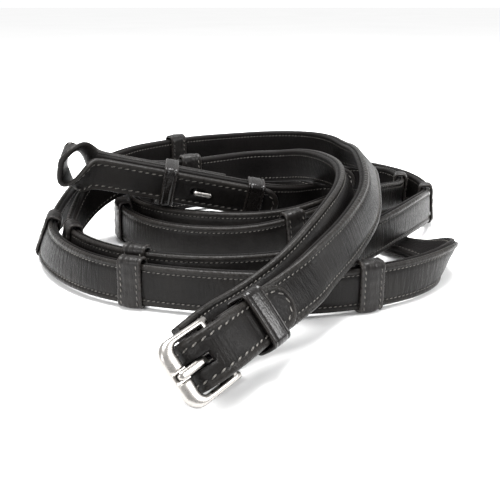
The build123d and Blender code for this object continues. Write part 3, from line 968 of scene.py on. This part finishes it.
def billet_section(width, thickness):
    """Half cross-section of a billet, from the middle of its face to the middle of its back."""
    top, edge = thickness / 2, width / 2
    # The third number weights the paler edge colour: wear, and a painted highlight on the rolled edges.
    return [(edge, top, 0.05), (4.6 * MM, top, 0.1), (3.3 * MM, top - 0.06 * MM, 0.1),
            (2.75 * MM, top - 0.3 * MM, 0), (2.4 * MM, top - 0.36 * MM, 0),
            (2.05 * MM, top - 0.18 * MM, 0.3), (1.6 * MM, top + 0.06 * MM, 0.8),
            (1.1 * MM, top + 0.12 * MM, 1), (0.6 * MM, top, 1), (0.22 * MM, top - 0.32 * MM, 0.9),
            (0.0, top - 0.8 * MM, 0.6), (0.0, -top + 0.7 * MM, 0.4), (0.2 * MM, -top + 0.3 * MM, 0.6),
            (0.6 * MM, -top + 0.06 * MM, 0.6), (1.2 * MM, -top, 0.3), (edge, -top, 0)]


def border_row(run, start, end, half_width, in_from_edge, out, step=0.0007):
    """Line of stitches that follows a leather end's outline round its tip."""
    return [(run.point(d + in_from_edge * into_d, w + in_from_edge * into_w, out),
             run.at(d + in_from_edge * into_d)[2])
            for d, w, into_d, into_w, _ in border(start, half_width, end, step, 24)]


def keeper_band(length, wall=1.3, crease=0.25):
    """Band of a keeper: rounded edges and a creased line along each of them."""
    reach = length / 2
    # The third number weights the paler edge colour: wear, and a painted highlight on the rolled edges.
    side = [(reach - 0.25, 0.0, 0), (reach, 0.25, 0.3), (reach, wall - 0.5, 0.8),
            (reach - 0.2, wall - 0.12, 1), (reach - 0.6, wall, 0.8), (reach - 1.05, wall - 0.02, 0.4),
            (reach - 1.3, wall - crease, 0), (reach - 1.5, wall - crease, 0),
            (reach - 1.75, wall, 0.4), (reach - 2.4, wall + 0.06, 0.2)]
    band = [*side, *[(-along, rise, worn_and_highlit) for along, rise, worn_and_highlit in reversed(side)]]
    return [(along * MM, rise * MM, worn_and_highlit) for along, rise, worn_and_highlit in band]


def make_keeper(name, node, place, start, end, width, low, high, body):
    """A keeper along an assembly from start to end, round what lies between low and high."""
    middle = (start + end) / 2 * MM
    gap = 0.2
    ring = ring_outline((width / 2 + gap) * MM, (low - gap) * MM, (high + gap) * MM, 0.7 * MM,
                        bulge=0.15 * MM)

    def point_at(along, across, out):
        return place.at(middle + along, across, out)

    loop = leather_ring(name, point_at, ring, keeper_band(end - start), (finish_of("glossy"),))
    belongs(loop, body)
    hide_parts(node)


# The buckle's frame, in millimetres along and across it.
FRAME_LENGTH = 20.0
FRAME_HALF_WIDTH, OPENING_HALF_WIDTH = 10.3, 8.0
OUTER_CORNER, INNER_CORNER = 4.9, 2.0
FRONT_BAR = 5.4
HEEL_X, HEEL_RADIUS = 18.2, 1.6
GROOVE_HALF_WIDTH, GROOVE_FLOOR = 1.65, 0.85


class REINS_OT_centre_buckle(bpy.types.Operator):
    """The steel buckle and its tongue, which join the two straps"""

    bl_idname = "reins.centre_buckle"
    bl_label = "Centre buckle"

    def execute(self, context):
        outer, inner = [], []
        for x in (FRAME_LENGTH, 17.5, 15, 12.5, 10.0, 8.5):
            outer.append((x, -FRAME_HALF_WIDTH))
            inner.append((x, -OPENING_HALF_WIDTH))
        for i in range(9):
            turn = radians(-90 - 90 * i / 8)
            for edge, bar, half_width, radius in (
                    (outer, 0, FRAME_HALF_WIDTH, OUTER_CORNER),
                    (inner, FRONT_BAR, OPENING_HALF_WIDTH, INNER_CORNER)):
                edge.append((bar + radius + radius * cos(turn),
                             radius - half_width + radius * sin(turn)))
        for y in (-3.6, -2.4, -1.2):
            outer.append((0, y))
            inner.append((FRONT_BAR + 0.2 * cos(y / OPENING_HALF_WIDTH * pi), y))
        outer += [(0, 0), *[(x, -y) for x, y in reversed(outer)]]
        inner += [(FRONT_BAR + 0.2, 0), *[(x, -y) for x, y in reversed(inner)]]
        around = 20
        vertices = []
        last = len(outer) - 1
        for i, ((x0, y0), (x1, y1)) in enumerate(zip(outer, inner)):
            middle, reach = ((x0 + x1) / 2, (y0 + y1) / 2), ((x0 - x1) / 2, (y0 - y1) / 2)
            wide = min(1.0, hypot(*reach) / 2.5)
            height = 1.35 + 0.35 * wide
            for j in range(around):
                turn = 2 * pi * j / around
                c, s = cos(turn), sin(turn)
                flat, tall = abs(c) ** 0.8 * (1 if c >= 0 else -1), abs(s) ** 0.85 * (1 if s >= 0 else -1)
                vertices.append(BUCKLE.at((middle[0] + reach[0] * flat) * MM,
                                          (middle[1] + reach[1] * flat) * MM, height * tall * MM))
        faces = [(i * around + j, i * around + (j + 1) % around,
                  (i + 1) * around + (j + 1) % around, (i + 1) * around + j)
                 for i in range(last) for j in range(around)]
        for i in (0, last):
            x1, y1 = ((outer[i][0] + inner[i][0]) / 2, (outer[i][1] + inner[i][1]) / 2)
            rings = [i * around]
            for share, out in ((0.75, 0.35), (0.4, 0.55)):
                rings.append(len(vertices))
                for j in range(around):
                    corner = vertices[i * around + j]
                    centre = BUCKLE.at(x1 * MM, y1 * MM)
                    vertices.append(centre + (corner - centre) * share + BUCKLE.x * out * MM)
            for a, b in zip(rings, rings[1:]):
                faces += [(a + j, a + (j + 1) % around, b + (j + 1) % around, b + j)
                          for j in range(around)]
            faces.append(tuple(range(rings[-1], rings[-1] + around)))
        ring = tidy_mesh(new_piece("buckle_frame_steel", vertices, faces, (finish_of("steel"),)))
        bar = []
        for y in (-9.0, 9.0):
            bar += [BUCKLE.at((HEEL_X + HEEL_RADIUS * cos(pi * j / 12)) * MM, y * MM,
                              HEEL_RADIUS * sin(pi * j / 12) * MM) for j in range(24)]
        heel = new_piece("heel_bar", bar, [
            tuple(range(24)), tuple(range(24, 48)),
            *[(j, (j + 1) % 24, 24 + (j + 1) % 24, 24 + j) for j in range(24)]])
        combine(ring, tidy_mesh(heel), "UNION")
        groove = prism("groove", BUCKLE, block(-1, 7, GROOVE_HALF_WIDTH), GROOVE_FLOOR, 4)
        cut(ring, groove)
        belongs(ring, "frame")
        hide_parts("buckle_frame")
        path = folded_run(BUCKLE, [(0.9, 2.0), (6, 1.9), (13, 1.9), (16.2, 2.3), (20.5, 2.35),
                                   (20.5, -2.35), (15.9, -2.35), (15.9, 0.4)], BUCKLE.y, 12)
        outline = [(w * MM, n * MM, 0) for w, n in
                   ((1.3, 0), (1.22, 0.5), (0.9, 0.78), (0.4, 0.88), (-0.4, 0.88), (-0.9, 0.78),
                    (-1.22, 0.5), (-1.3, 0), (-1.22, -0.4), (-0.9, -0.6), (-0.4, -0.65),
                    (0.4, -0.65), (0.9, -0.6), (1.22, -0.4))]

        def taper(distance):
            near = min(1.0, distance / (1.0 * MM))
            end = (1 - (1 - near) ** 2) ** 0.5
            return 0.45 + 0.55 * end, 0.45 + 0.55 * end

        prong = swept("buckle_tongue_steel", path, path.between(0, path.length), outline,
                      (finish_of("steel"),), scale=taper)
        belongs(prong, "tongue")
        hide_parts("buckle_tongue")
        return {"FINISHED"}


class REINS_OT_centre_leather(bpy.types.Operator):
    """The leathers at the centre buckle: the chape, the billet through the frame, the keeper"""

    bl_idname = "reins.centre_leather"
    bl_label = "Centre leathers"

    def execute(self, context):
        size = context.scene.reins_ends
        width, thick = size.billet_width, size.billet_thickness
        path = folded_run(BUCKLE, [
            (51, 4.5), (48, 4.1), (44, 3.5), (38, 3.5), (30.5, 3.5), (26.6, 5.1), (22, 5.9), (16, 5.6),
            (12.2, 4.6), (9.3, 2.2), (8.2, -1.0), (8.2, -6.6), (10, -8.1), (15, -8.1),
            (30, -8.1)], -BUCKLE.y)
        billet = leather_end("centre_billet_leather", path, 0.0, path.length, width / 2,
                             billet_section(width, thick), (finish_of("face"),))
        cut(billet, prism("tongue_slot", BUCKLE, block(6, 12.3, 1.7), -1.3, 5.7))
        # The billet's back is hollowed behind the slot, so that the tongue can lift.
        cut(billet, prism("tongue_relief", BUCKLE, block(11.5, 15.2, 1.8), -1.3, 4.1))
        belongs(billet, "reins")
        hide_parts("centre_billet")
        fold = folded_run(BUCKLE, [(29, 2.5), (25, 2.75), (21, 2.75), (15.45, 2.75), (15.45, -2.75),
                                   (21, -2.75), (25, -2.75), (29, -2.5)], -BUCKLE.y)
        edge = width / 2
        outline = [(w * MM + edge * side, n * MM, worn_and_highlit) for side, w, n, worn_and_highlit in (
            (1, -2.0, 0.7, 0.1), (1, -0.4, 0.68, 0.7), (1, 0, 0.3, 1), (1, 0, -0.3, 0.6),
            (1, -0.4, -0.66, 0.2), (-1, 0.4, -0.66, 0.2), (-1, 0, -0.3, 0.6), (-1, 0, 0.3, 1),
            (-1, 0.4, 0.68, 0.7), (-1, 2.0, 0.7, 0.1))]
        chape = swept("centre_chape_leather", fold, fold.along, outline, (finish_of("face"),))
        cut(chape, prism("chape_slot", BUCKLE, block(14.2, 22.2, 1.8), -4.5, 4.5))
        belongs(chape, "reins")
        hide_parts("centre_chape")
        make_keeper("centre_keeper_leather", "centre_keeper", BUCKLE, 33, 41, 16, -2.0, 4.9,
                    "centre_keeper")
        in_from_edge = 2.4 * MM
        rows = [border_row(path, 0.0, path.length - 1 * MM, width / 2, in_from_edge,
                           thick / 2 - 0.28 * MM)]
        thread = stitched("centre_billet_stitches", rows, size.stitch_pitch / MM, 2.3, 0.6, 0.5, 0.28)
        belongs(thread, "reins")
        return {"FINISHED"}


class REINS_OT_bit_ends(bpy.types.Operator):
    """The folded ends that take the bit: billets, keepers and hook studs"""

    bl_idname = "reins.bit_ends"
    bl_label = "Bit ends"

    def execute(self, context):
        size = context.scene.reins_ends
        width, thick = size.billet_width, size.billet_thickness
        side = 3.65
        for half in HALVES:
            place = bit_place(half)
            near = [(110, side - 0.1), (106, side), (60, side), (34, side), (28, side + 0.1),
                    (24, 5.9), (20.5, 8.1), (16, 7.8), (12, 6.2), (11.6, 2.4)]
            path = turned_run(place, [*near, *[(x, -z) for x, z in reversed(near[2:])], (84, -side)],
                              LOOP_TURN[half])
            billet = leather_end(half + "_bit_billet_leather", path, 0.0, path.length, width / 2,
                                 billet_section(width, thick), (finish_of("face"),))
            cut(billet, prism("hook_slot", place, slot_outline(72.5, 7, 2.8), 0.5, 8))
            belongs(billet, "reins")
            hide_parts(half + "_bit_billet")
            front = side + thick / MM / 2
            make_keeper(half + "_fixed_keeper_leather", half + "_fixed_keeper", place, 56, 62, 16,
                        -front, front, "reins")
            make_keeper(half + "_runner_keeper_leather", half + "_runner_keeper", place, 94, 102, 16,
                        -2.0, front, half.replace("half", "runner"))
            hook = hook_stud(half, place)
            belongs(hook, "reins")
            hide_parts(half + "_hook_stud")
            frame["nodes"][half + "_stud_rivet"].data.materials.clear()
            frame["nodes"][half + "_stud_rivet"].data.materials.append(finish_of("steel"))
            rows = [border_row(path, 0.0, path.length - 1 * MM, width / 2, 2.4 * MM,
                               thick / 2 - 0.28 * MM)]
            thread = stitched(half + "_bit_stitches", rows, size.stitch_pitch / MM, 2.3, 0.6, 0.5, 0.28)
            belongs(thread, "reins")
        return {"FINISHED"}


def bit_place(half):
    """Axes of a bit end: x from the fold back along the rein, z out of the lining."""
    end = Vector(ROUTES[half][-1][:3])
    back = (Vector(ROUTES[half][-2][:3]) - end).normalized()
    way = -back
    level = (Vector((0, 0, 1)) - way * way.z).normalized()
    lean = radians(ROUTES[half][-1][3])
    width = level * cos(lean) - way.cross(level) * sin(lean)
    return Place(end - back * 26 * MM, back, -way.cross(width))


def hook_stud(half, place):
    """A steel stud: a flat base, a post, and a hook that lies back along the billet."""
    base = turned(half + "_hook_stud_steel", place, 71, [
        (0.02, 2.05), (2.7, 2.05), (3.0, 2.15), (2.9, 2.3), (0.02, 2.32)], (finish_of("steel"),))
    path = folded_run(place, [(71, 2.1), (71, 4.4), (71, 6.0), (73.5, 6.05), (78.8, 6.0)], place.y)
    outline = [(1.1 * MM * cos(pi * j / 8), 0.75 * MM * sin(pi * j / 8), 0) for j in range(16)]

    def taper(distance):
        near = min(1.0, (path.length - distance) / (1.2 * MM))
        end = max(0.0, 1 - (1 - near) ** 2) ** 0.5
        return 0.3 + 0.7 * end, 0.3 + 0.7 * end

    bar = swept("hook", path, path.along, outline, (finish_of("steel"),), scale=taper)
    combine(base, bar, "UNION")
    return base


class REINS_OT_stage(bpy.types.Operator):
    """A white floor, soft light from above and in front, and the camera"""

    bl_idname = "reins.stage"
    bl_label = "Stage"

    def execute(self, context):
        scene, size = context.scene, context.scene.reins_stage
        lens = bpy.data.cameras.new("camera")
        lens.lens, lens.sensor_width, lens.clip_start = 50, 36, 0.01
        camera = bpy.data.objects.new("camera", lens)
        camera.location = (0, -0.287, 0.1085)
        camera.rotation_euler = (radians(70), 0, 0)
        scene.collection.objects.link(camera)
        scene.camera = camera
        reach = 8.0
        floor = new_piece("floor", [(-reach, -reach, 0), (reach, -reach, 0), (reach, reach, 0),
                                    (-reach, reach, 0)], [(0, 1, 2, 3)], (finish_of("paper"),))
        for name, place, span, power in (
                ("overhead", (-0.05, 0.05, 0.75), 0.55, size.key_power),
                ("front", (-0.5, -0.75, 0.45), 0.35, size.key_power * 0.35),
                ("side", (0.75, -0.1, 0.4), 0.3, size.key_power * 0.25)):
            lamp = bpy.data.lights.new(name, "AREA")
            lamp.shape, lamp.size, lamp.energy = "DISK", span, power
            light = bpy.data.objects.new(name, lamp)
            light.location = place
            aim = Vector((0, 0, 0.015)) - Vector(place)
            light.rotation_euler = aim.to_track_quat("-Z", "Y").to_euler()
            scene.collection.objects.link(light)
        world = bpy.data.worlds.new("white surroundings")
        world.use_nodes = True
        back = world.node_tree.nodes["Background"]
        back.inputs["Color"].default_value = (1, 1, 1, 1)
        back.inputs["Strength"].default_value = size.world
        scene.world = world
        scene.view_settings.view_transform = "Standard"
        return {"FINISHED"}


class REINS_PT_panel(bpy.types.Panel):
    """The reins' sizes, colours and light, and the steps that make them"""

    bl_label = "Leather reins"
    bl_idname = "REINS_PT_panel"
    bl_space_type = "VIEW_3D"
    bl_region_type = "UI"
    bl_category = "Reins"

    def draw(self, context):
        for holder in (context.scene.reins_strap, context.scene.reins_ends,
                       context.scene.reins_leather, context.scene.reins_stage):
            box = self.layout.box()
            for key in holder.__annotations__:
                box.prop(holder, key)
        for step in STEPS:
            self.layout.operator(step.bl_idname)


RUNS = {}
STEPS = (REINS_OT_stage, REINS_OT_straps, REINS_OT_strap_stitching, REINS_OT_hand_stops,
         REINS_OT_centre_buckle, REINS_OT_centre_leather, REINS_OT_bit_ends)
GROUPS = {"reins_strap": REINS_PG_strap, "reins_ends": REINS_PG_ends,
          "reins_leather": REINS_PG_leather, "reins_stage": REINS_PG_stage}


def register():
    for each in (*GROUPS.values(), *STEPS, REINS_PT_panel):
        bpy.utils.register_class(each)
    for name, group in GROUPS.items():
        setattr(bpy.types.Scene, name, PointerProperty(type=group))


def unregister():
    for name in GROUPS:
        delattr(bpy.types.Scene, name)
    for each in reversed((*GROUPS.values(), *STEPS, REINS_PT_panel)):
        bpy.utils.unregister_class(each)


def declare_straps():
    """Gathers each strap's carried pieces, a point near where it leaves the buckle and its centre line,
    and passes none of them on.
    """
    objects = bpy.data.objects
    for half in HALVES:
        run = RUNS[half]
        carried = [objects[half + part] for part in (
            "_web", "_stitches", "_stop_stitches", "_bit_billet_leather",
            "_fixed_keeper_leather", "_hook_stud_steel", "_bit_stitches")]
        carried += [objects[f"{half}_hand_stop_{n}_leather"]
                    for n in range(1, len(HAND_STOPS[half]) + 1)]
        run.point(0.005, 0, 0)
        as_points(run.centres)


def main():
    register()
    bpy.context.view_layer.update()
    for step in STEPS:
        group, name = step.bl_idname.split(".")
        getattr(getattr(bpy.ops, group), name)()
    declare_straps()


if __name__ == "__main__":
    main()
